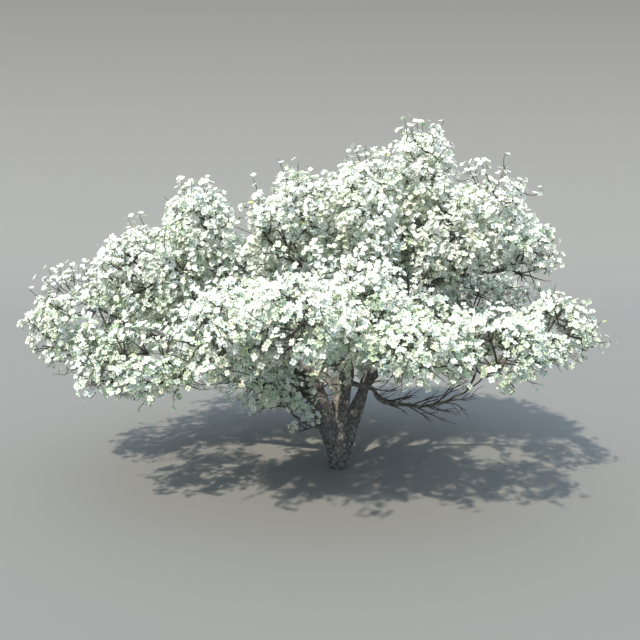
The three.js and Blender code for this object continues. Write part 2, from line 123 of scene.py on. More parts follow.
# each bough: the limb it leaves, at what share of that one's length (1 goes on from its end), its radii
# at the start and the tip, and its way
boughWays = {
    "left_far": ("left", 1, (0.031, 0.009), [(-0.21, -0.02, 0.4), (-0.42, 0, 0.45), (-0.615, 0.01, 0.495),
        (-0.76, 0.005, 0.525)]),
    "left_low": ("left", 0.8, (0.017, 0.008), [(-0.155, -0.115, 0.335), (-0.26, -0.21, 0.38),
        (-0.375, -0.295, 0.42), (-0.445, -0.34, 0.445)]),
    "left_inner": ("bough_left_far", 0.08, (0.013, 0.007), [(-0.185, 0.035, 0.47), (-0.23, 0.08, 0.54),
        (-0.275, 0.11, 0.6)]),
    "left_front": ("bough_left_far", 0.05, (0.015, 0.008), [(-0.17, -0.155, 0.43), (-0.22, -0.265, 0.49),
        (-0.265, -0.37, 0.545)]),
    "left_middle": ("bough_left_far", 0.3, (0.015, 0.008), [(-0.36, 0.015, 0.51), (-0.495, 0.03, 0.59),
        (-0.595, 0.035, 0.655)]),
    "left_upper": ("bough_left_far", 0.14, (0.015, 0.007), [(-0.27, 0.015, 0.53), (-0.375, 0.045, 0.66),
        (-0.47, 0.07, 0.8)]),
    "front_upper": ("middle", 1, (0.017, 0.008), [(0.04, -0.095, 0.43), (0.055, -0.185, 0.505),
        (0.06, -0.275, 0.555)]),
    "middle": ("bough_front_upper", 0.12, (0.013, 0.008), [(0.015, -0.03, 0.485), (-0.05, -0.02, 0.625),
        (-0.11, -0.02, 0.745)]),
    "centre_upper": ("bough_front_upper", 0.3, (0.012, 0.007), [(0.065, -0.06, 0.58), (0.07, -0.05, 0.69),
        (0.08, -0.055, 0.8)]),
    "front": ("middle", 0.78, (0.014, 0.008), [(0.01, -0.11, 0.4), (-0.025, -0.24, 0.5),
        (-0.075, -0.405, 0.61)]),
    "right_low": ("middle", 0.96, (0.01, 0.005), [(0.121, -0.1, 0.334), (0.143, -0.13, 0.306),
        (0.191, -0.18, 0.301), (0.295, -0.28, 0.314), (0.358, -0.35, 0.362)]),
    "top": ("right", 1, (0.018, 0.008), [(0.13, 0.015, 0.48), (0.165, 0.04, 0.64), (0.21, 0.06, 0.81),
        (0.26, 0.07, 1.01)]),
    "top_right": ("bough_top", 0.3, (0.013, 0.008), [(0.225, 0.04, 0.595), (0.3, 0.035, 0.685),
        (0.35, 0.03, 0.74)]),
    "right_middle": ("bough_top", 0.18, (0.013, 0.007), [(0.21, 0.01, 0.57), (0.325, 0, 0.71),
        (0.44, -0.005, 0.745), (0.595, 0.005, 0.765)]),
    "right_upper": ("bough_right_middle", 0.66, (0.009, 0.006), [(0.49, -0.015, 0.785),
        (0.535, -0.02, 0.83)]),
    "right_far": ("right", 0.94, (0.015, 0.008), [(0.175, -0.02, 0.41), (0.31, -0.04, 0.47),
        (0.445, -0.065, 0.515), (0.57, -0.1, 0.545)]),
    "front_right": ("bough_right_far", 0.12, (0.012, 0.007), [(0.175, -0.085, 0.435),
        (0.18, -0.195, 0.48), (0.175, -0.32, 0.52)]),
    "right_back": ("bough_right_far", 0.3, (0.012, 0.008), [(0.315, 0.135, 0.455), (0.395, 0.235, 0.505),
        (0.45, 0.31, 0.53)]),
    "back": ("back", 1, (0.026, 0.009), [(-0.02, 0.205, 0.4), (-0.055, 0.315, 0.475),
        (-0.085, 0.4, 0.52)]),
    "back_left": ("back", 0.9, (0.017, 0.008), [(-0.11, 0.195, 0.385), (-0.245, 0.295, 0.455),
        (-0.35, 0.35, 0.495)]),
    "back_right": ("back", 0.92, (0.016, 0.008), [(0.06, 0.205, 0.385), (0.12, 0.305, 0.44),
        (0.17, 0.395, 0.49)]),
    "back_upper": ("bough_back", 0.22, (0.014, 0.007), [(0.02, 0.215, 0.52), (0.045, 0.26, 0.615),
        (0.065, 0.3, 0.705)]),
    "left_under": ("left", 0.5, (0.009, 0.005), [(-0.125, -0.085, 0.2), (-0.16, -0.135, 0.24)]),
}
boughNames = ["bough_" + name for name in boughWays]

# the middle and the reach of the space that each mass of blossom fills
spaces = {
    "top": ((0.305, 0.08, 1.14), (0.12, 0.2, 0.19)),
    "top_right": ((0.395, 0.02, 0.895), (0.175, 0.22, 0.19)),
    "right_upper": ((0.545, -0.03, 0.98), (0.15, 0.21, 0.175)),
    "right_middle": ((0.685, 0.02, 0.83), (0.125, 0.18, 0.125)),
    "middle": ((-0.17, -0.02, 0.93), (0.185, 0.24, 0.19)),
    "centre_upper": ((0.095, -0.06, 1), (0.12, 0.21, 0.19)),
    "left_upper": ((-0.535, 0.08, 0.935), (0.13, 0.18, 0.155)),
    "left_middle": ((-0.72, 0.04, 0.76), (0.21, 0.23, 0.185)),
    "left_inner": ((-0.345, 0.15, 0.705), (0.18, 0.215, 0.16)),
    "left_far": ((-0.955, 0, 0.575), (0.205, 0.25, 0.2)),
    "left_low": ((-0.67, -0.36, 0.485), (0.205, 0.22, 0.125)),
    "left_front": ((-0.36, -0.52, 0.62), (0.165, 0.22, 0.155)),
    "front": ((-0.155, -0.62, 0.67), (0.16, 0.22, 0.135)),
    "front_upper": ((0.075, -0.42, 0.67), (0.2, 0.21, 0.185)),
    "front_right": ((0.225, -0.52, 0.58), (0.205, 0.22, 0.13)),
    "right_low": ((0.48, -0.52, 0.565), (0.16, 0.22, 0.115)),
    "right_far": ((0.755, -0.1, 0.565), (0.175, 0.26, 0.14)),
    "right_back": ((0.6, 0.42, 0.585), (0.22, 0.25, 0.185)),
    "back_left": ((-0.605, 0.46, 0.585), (0.325, 0.28, 0.23)),
    "back": ((-0.15, 0.64, 0.605), (0.32, 0.26, 0.26)),
    "back_right": ((0.29, 0.6, 0.6), (0.26, 0.27, 0.24)),
    "back_upper": ((0.1, 0.34, 0.935), (0.275, 0.23, 0.225)),
    "left_under": ((-0.205, -0.2, 0.365), (0.17, 0.15, 0.105)),
}
massNames = list(spaces)
middles = np.array([middle for middle, reach in spaces.values()])
reaches = np.array([reach for middle, reach in spaces.values()])

gap = 0.0003
lineSteps = 40  # places worked out between two points of a limb
limbs = {}


# a centripetal curve through the points
def smoothLine(points):
    points = np.array(points, float)
    ends = np.vstack([2 * points[0] - points[1], points, 2 * points[-1] - points[-2]])
    knots = np.sqrt(np.linalg.norm(np.diff(ends, axis=0), axis=1))
    line = [points[:1]]
    share = np.linspace(0, 1, lineSteps + 1)[1:, None]
    for i in range(len(points) - 1):
        a, b, c, d = ends[i:i + 4]
        before, here, after = knots[i:i + 3]
        leave = here * ((b - a) / before - (c - a) / (before + here) + (c - b) / here)
        arrive = here * ((c - b) / here - (d - b) / (here + after) + (d - c) / after)
        square = 3 * (c - b) - 2 * leave - arrive
        cube = 2 * (b - c) + leave + arrive
        line.append(b + leave * share + square * share ** 2 + cube * share ** 3)
    return np.vstack(line)


# how far along a line each of its points is
def runAlong(line):
    return np.concatenate([[0], np.cumsum(np.linalg.norm(np.diff(line, axis=0), axis=1))])


def addLimb(name, points, radii=None, ends=None):
    line = smoothLine(points)
    run = runAlong(line)
    if ends:
        radius = blend(ends[0], ends[1], run / run[-1])
    else:
        stations = runAlong(np.array(points))
        radius = np.interp(run / run[-1] * stations[-1], stations, radii)
    limbs[name] = {"name": name, "line": line, "run": run, "radius": radius}


def placeOn(limb, share):
    runs = np.asarray(share) * limb["run"][-1]
    return np.stack([np.interp(runs, limb["run"], limb["line"][:, i]) for i in range(3)], axis=-1)


def radiusOn(limb, share):
    return np.interp(np.asarray(share) * limb["run"][-1], limb["run"], limb["radius"])


def directionOn(limb, share):
    low, high = max(share - 0.002, 0), min(share + 0.002, 1)
    return normalized(placeOn(limb, high) - placeOn(limb, low))


def buildLimbs():
    for name, stations in stems.items():
        addLimb(name, [entry[:3] for entry in stations], radii=[entry[3] for entry in stations])
    for name, (source, at, radii, way) in zip(boughNames, boughWays.values()):
        parent = limbs[source]
        start = placeOn(parent, at)
        points = [start]
        if at == 1:
            onward = directionOn(parent, 1)
            points = [start + onward * gap, start + onward * 2 * radii[0]]
        addLimb(name, [*points, *way], ends=radii)


# growth: the stem of a mass, its branches, spurs and finer and finer twigs

growth = {
    "heartDrop": 0.25,  # the stem ends this share of the reach below the middle
    "stemJoints": (0.36, 0.68, 0.95),
    "turnSpread": 0.7,  # how far an end strays round the space, radians
    "runShare": 0.35,  # how much a long way back to the bough counts against a joint
    "endTurn": 0.4,
    "lift": 0.45,  # how much a spray turns up to the sky
    "stray": 0.5,
    "pullBacks": (1, 0.87, 0.74),
    "tries": 3,
    "margin": 0.05,  # kept clear of a neighbour's space
    "clearOfLimb": 0.005,
    "limbStep": 0.012,  # between the places on a limb that are tested for it
    "fineArea": 0.0426,  # the size of space that the finer levels' counts are for
    "melt": 4.2,  # the lower, the more the masses run into one crown
    "ragged": ((5, 0.42), (17, 0.26), (48, 0.12)),  # how uneven the outside is: lumps to a metre, how far
    "underside": 0.12,  # how much the crown is drawn up under its low masses
    "lowMasses": 0.72,  # the height below which a mass belongs to the crown's underside
    "overhang": 0.034,  # how far it may stand out past the solids' box
    "holes": 4.2,  # openings in the crown to a metre
    "holesShift": (7, 3, 5),  # another shift puts them elsewhere
    "holeLevel": -0.33,  # the lower, the fewer openings
    # clearings by middle and reach: under the right bough, before the left fan of twigs, and on the
    # shoulders of the top and of the upper left
    "clearings": [((0.64, 0, 0.735), (0.2, 0.3, 0.04)),
                  ((-0.64, -0.4, 0.555), (0.13, 0.13, 0.028)),
                  ((0.485, 0.08, 1.3), (0.095, 0.3, 0.11)),
                  ((-0.73, 0.08, 1.11), (0.11, 0.3, 0.11))],
    "drifts": ((9, 0.01), (30, 0.0035)),  # how crooked limbs are: bends to a metre, and how far
    "driftFrom": 0.3,  # nothing drifts nearer to the foot of the trunk than this
    "driftFade": 0.12,
}

# branches and spurs, where the solids have theirs, and finer twigs between them: how many, how far out,
# how far past the crown, where finer ones leave them, whether their own level may too, whether they are
# finer than the solids', their radii, sides and rings
levelKeys = ("count", "near", "far", "reachOut", "joints", "atOnce", "fine",
             "start", "end", "sides", "rings")
levels = [dict(zip(levelKeys, row)) for row in (
    (12, 0.8, 0.96, 0, (0.5,), True, False, 0.0044, 0.0022, 5, 6),
    (16, 0.55, 0.95, 0, (0.5, 0.8), False, False, 0.0034, 0.0019, 4, 5),
    (90, 0.55, 1.2, 0, (0.45, 0.8), False, True, 0.0025, 0.0014, 3, 4),
    (36, 1, 1.4, 0.3, (), False, True, 0.0021, 0.0011, 3, 4),
    (360, 0.45, 1.25, 0, (), False, True, 0.0015, 0.0008, 3, 3),
)]
goldenAngle = math.pi * (3 - math.sqrt(5))
seeds = {"masses": 1000, "sideTwigs": 500, "sideFlowers": 600}


# seeded numbers from 0 to 1
def seededDraw(seed):
    state = seed
    mask = 0xFFFFFFFF

    def draw():
        nonlocal state
        state = (state + 0x6D2B79F5) & mask
        bits = ((state ^ (state >> 15)) * (state | 1)) & mask
        bits ^= (bits + (((bits ^ (bits >> 7)) * (bits | 61)) & mask)) & mask
        return (bits ^ (bits >> 14)) / 2 ** 32

    return draw


# how far a place is from the middle of each mass, as a share of its reach
def sharesOfReach(places):
    offsets = (np.asarray(places)[..., None, :] - middles) / reaches
    return np.linalg.norm(offsets, axis=-1)


def inOwnSpace(place, index, limit, margin):
    shares = sharesOfReach(place)
    own = shares[index]
    others = np.delete(shares, index)
    return own <= limit and place[2] > 0 and others.min() > own + margin


# how near to 1, the outside of the whole crown, places are, all its masses melted together
def shareOfCrown(places):
    depths = np.exp(-growth["melt"] * sharesOfReach(places)).sum(axis=-1)
    return -np.log(depths) / growth["melt"]


lowest = np.array(cadBox[0]) - growth["overhang"]
highest = np.array(cadBox[1]) + growth["overhang"]


# whether a place is inside the crown's ragged outside
def inCrown(place, limit=1):
    if place[2] <= 0 or (place < lowest).any() or (place > highest).any():
        return False
    seat = Vector(place)
    lump = sum(far * noise.noise(seat * lumps) for lumps, far in growth["ragged"])
    heights = (place[2] - middles[:, 2]) / reaches[:, 2]
    nearest = sharesOfReach(place).argmin()
    under = np.clip(-heights[nearest], 0, 1) * (middles[nearest, 2] < growth["lowMasses"])
    return shareOfCrown(place) <= limit + lump - growth["underside"] * under


def inClearing(places):
    return np.logical_or.reduce([np.linalg.norm((places - np.array(middle)) / reach, axis=-1) < 1
                                 for middle, reach in growth["clearings"]])


def inOpening(place):
    seat = Vector(place) * growth["holes"] + Vector(growth["holesShift"])
    return inClearing(place) or noise.noise(seat) < growth["holeLevel"]


def sampleLimbs(step):
    places, radii = [], []
    for limb in limbs.values():
        shares = np.linspace(0, 1, math.ceil(limb["run"][-1] / step) + 1)
        places.append(placeOn(limb, shares))
        radii.append(radiusOn(limb, shares))
    return np.vstack(places), np.concatenate(radii)


def bezier(path, share):
    rest = 1 - share
    return rest * rest * path[0] + 2 * rest * share * path[1] + share * share * path[2]


# bends whatever lies at a place the same way, so that crooked twigs still meet where they join
def drifted(places):
    shape = np.shape(places)
    moved = np.array(places, float).reshape(-1, 3)
    away = np.linalg.norm(moved, axis=1) - growth["driftFrom"]
    amount = np.clip(away / growth["driftFade"], 0, 1)[:, None]
    seats = [Vector(place) for place in moved]
    for bends, far in growth["drifts"]:
        moved += far * amount * np.array([noise.noise_vector(seat * bends) for seat in seats])
    return moved.reshape(shape)


# a mass's stem goes on from its bough's tip
def growStem(index):
    limb = limbs["bough_" + massNames[index]]
    onward = directionOn(limb, 1)
    start = placeOn(limb, 1) + onward * gap
    heart = middles[index] - (0, 0, growth["heartDrop"] * reaches[index, 2])
    bend = start + onward * 0.5 * np.linalg.norm(heart - start)
    return start, bend, heart


def twigEnds(index, level, draw, start):
    count = level["count"]
    if level["fine"]:
        count = round(count * np.prod(reaches[index]) ** (2 / 3) / growth["fineArea"])
    firstTurn = 2 * math.pi * draw()
    ends = []
    for i in range(count):
        height = 1 - 2 * (i + 0.5) / count
        turn = firstTurn + i * goldenAngle + growth["turnSpread"] * (draw() - 0.5)
        far = blend(level["near"], level["far"], draw())
        ring = math.sqrt(1 - height * height)
        outward = np.array([ring * math.cos(turn), ring * math.sin(turn), height])
        stray = np.array([draw() - 0.5, draw() - 0.5, draw() - 0.5]) * growth["stray"]
        normal = normalized(outward + stray + (0, 0, growth["lift"]))
        draw()  # the size of a plate in the solids, drawn here too so that the rest stays in step
        ends.append({"here": middles[index] + outward * far * reaches[index], "normal": normal})
    return sorted(ends, key=lambda end: np.linalg.norm(end["here"] - start))


def growTwig(index, level, end, joint):
    normal = end["normal"]
    for pull in growth["pullBacks"]:
        here = blend(joint["here"], end["here"], pull)
        length = np.linalg.norm(here - joint["here"])
        path = (joint["here"], here - normal * growth["endTurn"] * length, here)
        fits = True
        for place in (bezier(path, 0.5), here):
            clear = np.linalg.norm(limbPlaces - place, axis=1) > limbRadii + growth["clearOfLimb"]
            if level["fine"]:
                fits = fits and inOwnSpace(place, index, level["far"], 0)
                fits = fits and inCrown(place, 1 + level["reachOut"])
            else:
                fits = fits and inOwnSpace(place, index, 1, growth["margin"])
            fits = fits and clear.all()
        if fits:
            return path
    return None


def growMass(index):
    draw = seededDraw(index + 1)
    stem = growStem(index)
    start = stem[0]
    joints = []
    for share in growth["stemJoints"]:
        here = bezier(stem, share)
        joints.append({"here": here, "run": np.linalg.norm(here - start)})
    twigs = []
    for depth, level in enumerate(levels):
        later = []
        for end in twigEnds(index, level, draw, start):
            if level["fine"] and not level["reachOut"] and inOpening(end["here"]):
                continue
            places = np.array([joint["here"] for joint in joints])
            runs = np.array([joint["run"] for joint in joints])
            way = np.linalg.norm(places - end["here"], axis=1) + growth["runShare"] * runs
            for choice in np.argsort(way)[:growth["tries"]]:
                joint = joints[choice]
                path = growTwig(index, level, end, joint)
                if path:
                    for share in level["joints"]:
                        here = bezier(path, share)
                        run = joint["run"] + np.linalg.norm(here - joint["here"])
                        later.append({"here": here, "run": run})
                    twigs.append({"path": path, "normal": end["normal"], "depth": depth})
                    break
            if level["atOnce"]:
                joints += later
                later = []
        joints += later
    return stem, twigs


# one mesh of arrays of corners, faces and slots, in place of some nodes
def joinedPiece(name, parts, materials, nodes):
    corners = np.vstack([part[0] for part in parts])
    starts = np.cumsum([0] + [len(part[0]) for part in parts[:-1]])
    faces = np.vstack([part[1] + start for part, start in zip(parts, starts)])
    slots = np.concatenate([part[2] for part in parts])
    mesh = bpy.data.meshes.new(name)
    mesh.vertices.add(len(corners))
    mesh.loops.add(faces.size)
    mesh.polygons.add(len(faces))
    for material in materials:
        mesh.materials.append(material)
    for target, field, values in (
            (mesh.vertices, "co", corners.astype(np.float32)),
            (mesh.loops, "vertex_index", faces.astype(np.int32)),
            (mesh.polygons, "loop_start", np.arange(0, faces.size, 3, dtype=np.int32)),
            (mesh.polygons, "material_index", slots.astype(np.int32)),
            (mesh.polygons, "use_smooth", np.ones(len(faces), dtype=bool))):
        target.foreach_set(field, values.ravel())
    mesh.update(calc_edges=True)
    piece = bpy.data.objects.new(name, mesh)
    bpy.context.scene.collection.objects.link(piece)
    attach(piece, "root")
    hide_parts(*nodes)


# thin tapering tubes along bent paths: sides all round, a ring at each share, closed at the tip
def twigTubes(paths, radii, sides, rings):
    paths = np.array(paths)
    share = np.linspace(0, 1, rings)[None, :, None]
    start, bend, end = paths[:, None, 0], paths[:, None, 1], paths[:, None, 2]
    onward = normalized((1 - share) * (bend - start) + share * (end - bend) + 1e-9)
    middle = drifted(bezier((start, bend, end), share))
    steep = np.abs(onward.mean(axis=1)[:, 2]) > 0.7
    away = np.where(steep[:, None], [1.0, 0, 0], [0, 0, 1.0])[:, None, :]
    across = normalized(np.cross(away, onward))
    beside = np.cross(onward, across)
    radius = blend(*radii, share)
    corners = []
    for side in range(sides):
        turn = 2 * math.pi * side / sides
        corners.append(middle + radius * (math.cos(turn) * across + math.sin(turn) * beside))
    corners = np.stack(corners, axis=2)
    faces = []
    for ring in range(rings - 1):
        for side in range(sides):
            following = (side + 1) % sides
            low, high = ring * sides, (ring + 1) * sides
            faces += [(low + side, low + following, high + following),
                      (low + side, high + following, high + side)]
    last = (rings - 1) * sides
    faces += [(last, last + side, last + side + 1) for side in range(1, sides - 1)]
    count = len(paths)
    offsets = np.arange(count)[:, None, None] * rings * sides
    joined = (np.array(faces)[None] + offsets).reshape(-1, 3)
    return corners.reshape(-1, 3), joined, np.zeros(len(joined), int)


# copies of a small template, each turned by its frame, sized and moved
def dealtCopies(template, places, frames, sizes, tints):
    corners, faces, slots = template
    turned = np.einsum("vi,nij->nvj", corners, frames) * sizes[:, None, None]
    moved = (turned + places[:, None, :]).reshape(-1, 3)
    offsets = np.arange(len(places))[:, None, None] * len(corners)
    joined = (faces[None] + offsets).reshape(-1, 3)
    dealt = np.where(slots[None] == 0, tints[:, None], slots[None] + tintCount - 1).reshape(-1)
    return moved, joined, dealt


# frames whose third row is the normal, the first spun round it
def framesFrom(normals, spins):
    away = np.where(np.abs(normals[:, 2:]) > 0.9, [[1.0, 0, 0]], [[0, 0, 1.0]])
    first = normalized(np.cross(away, normals))
    second = np.cross(normals, first)
    across = first * np.cos(spins)[:, None] + second * np.sin(spins)[:, None]
    along = np.cross(normals, across)
    return np.stack([across, along, normals], axis=1)


def readTemplate(piece):
    mesh = piece.data
    mesh.calc_loop_triangles()
    corners = np.array([vertex.co for vertex in mesh.vertices])
    faces = np.array([triangle.vertices for triangle in mesh.loop_triangles])
    slots = np.array([triangle.material_index for triangle in mesh.loop_triangles])
    bpy.data.objects.remove(piece)
    return corners, faces, slots


# the finishes of the crown, dealt out by spray

# bracts of the flowering dogwood: waxy and soft, white with a breath of green or cream, and two darker tints
# that are painted shade
bractFinishes = [
    plainMaterial("bractWhite", "#f6f9f0", 0.55),
    plainMaterial("bractCream", "#f2f3df", 0.55),
    plainMaterial("bractGreenWhite", "#e2edd7", 0.55),
    # pale green: partly the bracts' own green, partly painted shade
    plainMaterial("bractPaleGreen", "#c5d6b8", 0.6),
    # grey-green white: painted shade, a shaded copy of the white bract
    plainMaterial("bractPaintedShadeWhite", "#d0dcd3", 0.6),
]
tintCount = len(bractFinishes)
# how often each is dealt low in the crown and high up: low down the darker, greener tints come more often, as
# painted shade
tintWeightsWithPaintedShade = {"low": (0.14, 0.14, 0.28, 0.25, 0.19), "high": (0.68, 0.15, 0.14, 0.01, 0.02),
               "heights": (0.54, 0.76)}
# packed buds in the middle: matt, olive
headFinish = plainMaterial("flowerHeadOlive", "#78845a", 0.7)
# young leaves: thin, matt, grey-green, a few of them still yellow-green
leafFinishes = [
    plainMaterial("leafGreyGreen", "#a9bfab", 0.6),
    plainMaterial("leafPaleGreen", "#bfd1b9", 0.6),
    plainMaterial("leafYellowGreen", "#c2d087", 0.6),
]
leafWeights = (0.52, 0.43, 0.05)
# twig bark: smooth, dull, nearly black-brown
twigFinish = plainMaterial("twigBarkDark", "#5a524b", 0.75)
# stalks of the flowers: soft, hairy, grey-green
stalkFinish = plainMaterial("flowerStalkGreen", "#98a284", 0.7)


# a flower: four notched bracts round a small head, modelled lying flat, facing up

flower = {
    "length": 0.0110,  # from the middle to the tip of a bract
    "midWidth": 0.0050,  # half the width at the broadest place
    "tipWidth": 0.0036,
    "midRun": 0.60,  # how far along the broadest place is
    "notch": 0.0014,
    "cup": 0.0020,  # how far the middle of a bract stands above its root
    "curl": -0.0008,
    "fold": 0.0008,  # how far the edges rise over the middle line
    "headRadius": 0.0027,
    "headHeight": 0.0020,
    "headLift": 0.0003,  # over the roots of the bracts
}


def selectWhere(piece, test):
    bpy.ops.mesh.select_all(action="DESELECT")
    bpy.ops.object.mode_set(mode="OBJECT")
    for vertex in piece.data.vertices:
        vertex.select = test(vertex.co)
    bpy.ops.object.mode_set(mode="EDIT")


def widen(share):
    bpy.ops.transform.resize(value=(share, 1, 1))


def move(onward, up):
    bpy.ops.transform.translate(value=(0, onward, up))


def makeFlower(settings, openness):
    deselectAll()
    length = settings["length"]
    rise = settings["cup"] * openness
    # six corners: the root and the notch on the middle line, a pair at the middle and at the tip
    bpy.ops.mesh.primitive_circle_add(vertices=6, radius=length / 2, fill_type="NGON",
                                      location=(0, length / 2, 0))
    piece = bpy.context.object
    bpy.ops.object.transform_apply(location=True)
    widest = max(vertex.co.x for vertex in piece.data.vertices)
    bpy.ops.object.mode_set(mode="EDIT")
    bpy.ops.mesh.select_mode(type="VERT")
    selectWhere(piece, lambda co: abs(co.x) < length * 0.1)
    bpy.ops.mesh.vert_connect()
    selectWhere(piece, lambda co: length * 0.1 < co.y < length * 0.5)
    widen(settings["midWidth"] / widest)
    move(length * (settings["midRun"] - 0.25), rise + settings["fold"])
    selectWhere(piece, lambda co: co.y > length * 0.65 and abs(co.x) > length * 0.1 and co.z < rise / 2)
    widen(settings["tipWidth"] / widest)
    move(length * 0.25, rise * 1.6 + settings["curl"] + settings["fold"])
    selectWhere(piece, lambda co: co.y > length * 0.9 and abs(co.x) < length * 0.1)
    move(-settings["notch"], rise * 1.6 + settings["curl"])
    bpy.ops.mesh.select_all(action="SELECT")
    bpy.ops.mesh.spin(steps=3, dupli=True, angle=1.5 * math.pi, center=(0, 0, 0), axis=(0, 0, 1))
    bpy.ops.object.mode_set(mode="OBJECT")
    piece.data.materials.append(bractFinishes[0])
    # the head: a little cone of packed buds, its floor left out
    deselectAll()
    bpy.ops.mesh.primitive_cone_add(vertices=4, radius1=settings["headRadius"], radius2=0,
                                    depth=settings["headHeight"], end_fill_type="NOTHING",
                                    location=(0, 0, settings["headHeight"] / 2 + settings["headLift"]))
    head = bpy.context.object
    head.data.materials.append(headFinish)
    bpy.ops.object.transform_apply(location=True)
    piece.select_set(True)
    bpy.context.view_layer.objects.active = piece
    bpy.ops.object.join()
    return readTemplate(piece)


# a leaf: a pointed blade folded along its middle line, modelled along +Y, facing up

leaf = {
    "length": 0.026,
    "width": 0.0052,  # half the width at the broadest place
    "fold": 0.0015,
    "droop": 0.0035,
}


def makeLeaf(settings):
    deselectAll()
    length = settings["length"]
    bpy.ops.mesh.primitive_grid_add(x_subdivisions=2, y_subdivisions=3, size=length,
                                    location=(0, length / 2, 0))
    piece = bpy.context.object
    bpy.ops.object.transform_apply(location=True)
    bpy.ops.object.mode_set(mode="EDIT")
    bpy.ops.mesh.select_mode(type="VERT")
    selectWhere(piece, lambda co: co.y < length * 0.1)
    bpy.ops.mesh.merge(type="CENTER")
    selectWhere(piece, lambda co: co.y > length * 0.9)
    bpy.ops.mesh.merge(type="CENTER")
    move(0, -settings["droop"])
    selectWhere(piece, lambda co: abs(co.x) > length * 0.1)
    widen(settings["width"] * 2 / length)
    move(0, settings["fold"])
    bpy.ops.object.mode_set(mode="OBJECT")
    return readTemplate(piece)


# sprays: flowers and leaves along the outer part of each twig

spray = {
    "counts": (8, 8, 8, 6, 7),  # flowers on a branch, spur, twig, sprig and fine twig
    "from": 0.58,  # the share of a twig's length where its flowers begin
    "stalk": (0.007, 0.026),
    "onward": 0.80,  # how much a stalk leans the way its twig grows
    "heart": (-0.10, 0.00, 0.30),  # a flower turns away from the heart of the tree, and up to the sky
    "away": 0.40,
    "sunward": (-0.22, -0.38, 0.42),
    "stray": 0.80,
    "sizes": (0.74, 1.08),
    "sameTint": 0.7,  # the share of a spray's flowers that have the spray's own tint
    "spaceLimit": 1.05,
    "clearOfLimb": 0.008,
    "testedAtOnce": 200,
    "ownSpace": 0.08,  # how far a flower may lean into the next mass
    "lowest": 0.03,
    "depths": (0.05, 0.60),  # flowers thin out between these depths, as shares of the crown's reach
    "deepest": 0.60,  # the share of them that is left inside
    "rim": (0.90, 1.25),  # and again out to the loose edge of the crown
    "rimShare": 0.45,
    "shades": (-1.05, -0.35),  # and between these heights in a mass, as shares of its reach
    "shadiest": 0.5,
    "heights": (0.50, 0.85),  # and lower down in the crown, in metres
    "lowShare": 0.62,
    "stalkRadius": 0.0009,
    "leaves": 0.35,  # of the twigs' ends that bear a leaf
    "leavesFrom": 0.75,  # the share of a twig's length where they may begin
    "leafSizes": (0.7, 1.15),
    "opennesses": (0.6, 1.3),  # a flower half shut, and one wide open
}


# the lower a spray sits, the more often it gets the darker tints: painted shade under the upper crown
def sprayTint(chance, place):
    share = np.interp(place[2], tintWeightsWithPaintedShade["heights"], (0, 1))
    weights = blend(np.array(tintWeightsWithPaintedShade["low"]), np.array(tintWeightsWithPaintedShade["high"]), share)
    return chance.choice(tintCount, p=weights)


def placeFlowers(twigs, chance):
    places, facings, roots, tints, limits = [], [], [], [], []
    for twig in twigs:
        count = spray["counts"][twig["depth"]]
        frame = framesFrom(twig["normal"][None], np.array([chance.random() * math.tau]))[0]
        tint = sprayTint(chance, twig["path"][2])
        for i in range(count):
            share = blend(spray["from"], 1, (i + chance.random()) / count)
            turn = i * goldenAngle
            outward = math.cos(turn) * frame[0] + math.sin(turn) * frame[1] + spray["onward"] * frame[2]
            root = bezier(twig["path"], share)
            roots.append(root)
            place = root + outward * blend(*spray["stalk"], chance.random())
            places.append(place)
            away = normalized(place - spray["heart"]) * spray["away"]
            stray = (chance.random(3) * 2 - 1) * spray["stray"]
            facings.append(outward + away + spray["sunward"] + stray)
            tints.append(tint if chance.random() < spray["sameTint"] else sprayTint(chance, place))
            limits.append(spray["spaceLimit"] + levels[twig["depth"]]["reachOut"])
    return np.array(places), normalized(facings), np.array(roots), np.array(tints), limits


# tests some places along the limbs at a time, to save memory
def clearOfLimbs(places):
    clear = np.ones(len(places), bool)
    for start in range(0, len(limbPlaces), spray["testedAtOnce"]):
        some = slice(start, start + spray["testedAtOnce"])
        away = np.linalg.norm(places[:, None] - limbPlaces[None, some], axis=2)
        clear &= ((away - limbRadii[None, some]) > spray["clearOfLimb"]).all(axis=1)
    return clear


# which places stay: in the crown and in the mass's own space, clear of limbs, few inside and in shade
def keptPlaces(places, limits, index, chance):
    shares = sharesOfReach(places)
    own = shares[:, index]
    others = np.delete(shares, index, axis=1).min(axis=1)
    kept = (others > own - spray["ownSpace"]) & (places[:, 2] > spray["lowest"])
    kept &= ~inClearing(places)
    kept &= np.array([inCrown(place, limit) for place, limit in zip(places, limits)])
    kept &= clearOfLimbs(places)
    height = (places[:, 2] - middles[index, 2]) / reaches[index, 2]
    shadiest = spray["shadiest"] if middles[index, 2] < growth["lowMasses"] else 1
    lit = np.interp(height, spray["shades"], (shadiest, 1))
    outer = np.interp(shareOfCrown(places), spray["depths"], (spray["deepest"], 1))
    rim = np.interp(shareOfCrown(places), spray["rim"], (1, spray["rimShare"]))
    high = np.interp(places[:, 2], spray["heights"], (spray["lowShare"], 1))
    return kept & (chance.random(len(places)) < lit * outer * rim * high)


# thin stalks that run out to a point under each flower
def makeStalks(roots, tips):
    onward = normalized(tips - roots)
    across = normalized(np.cross(onward, onward[:, [1, 2, 0]] + 0.1))
    beside = np.cross(onward, across)
    rim = [roots + spray["stalkRadius"] * (math.cos(turn) * across + math.sin(turn) * beside)
           for turn in (0, math.tau / 3, math.tau * 2 / 3)]
    corners = np.stack([*rim, tips], axis=1)
    faces = np.array([(0, 1, 3), (1, 2, 3), (2, 0, 3)])
    joined = (faces[None] + np.arange(len(roots))[:, None, None] * 4).reshape(-1, 3)
    return corners.reshape(-1, 3), joined, np.ones(len(joined), int)


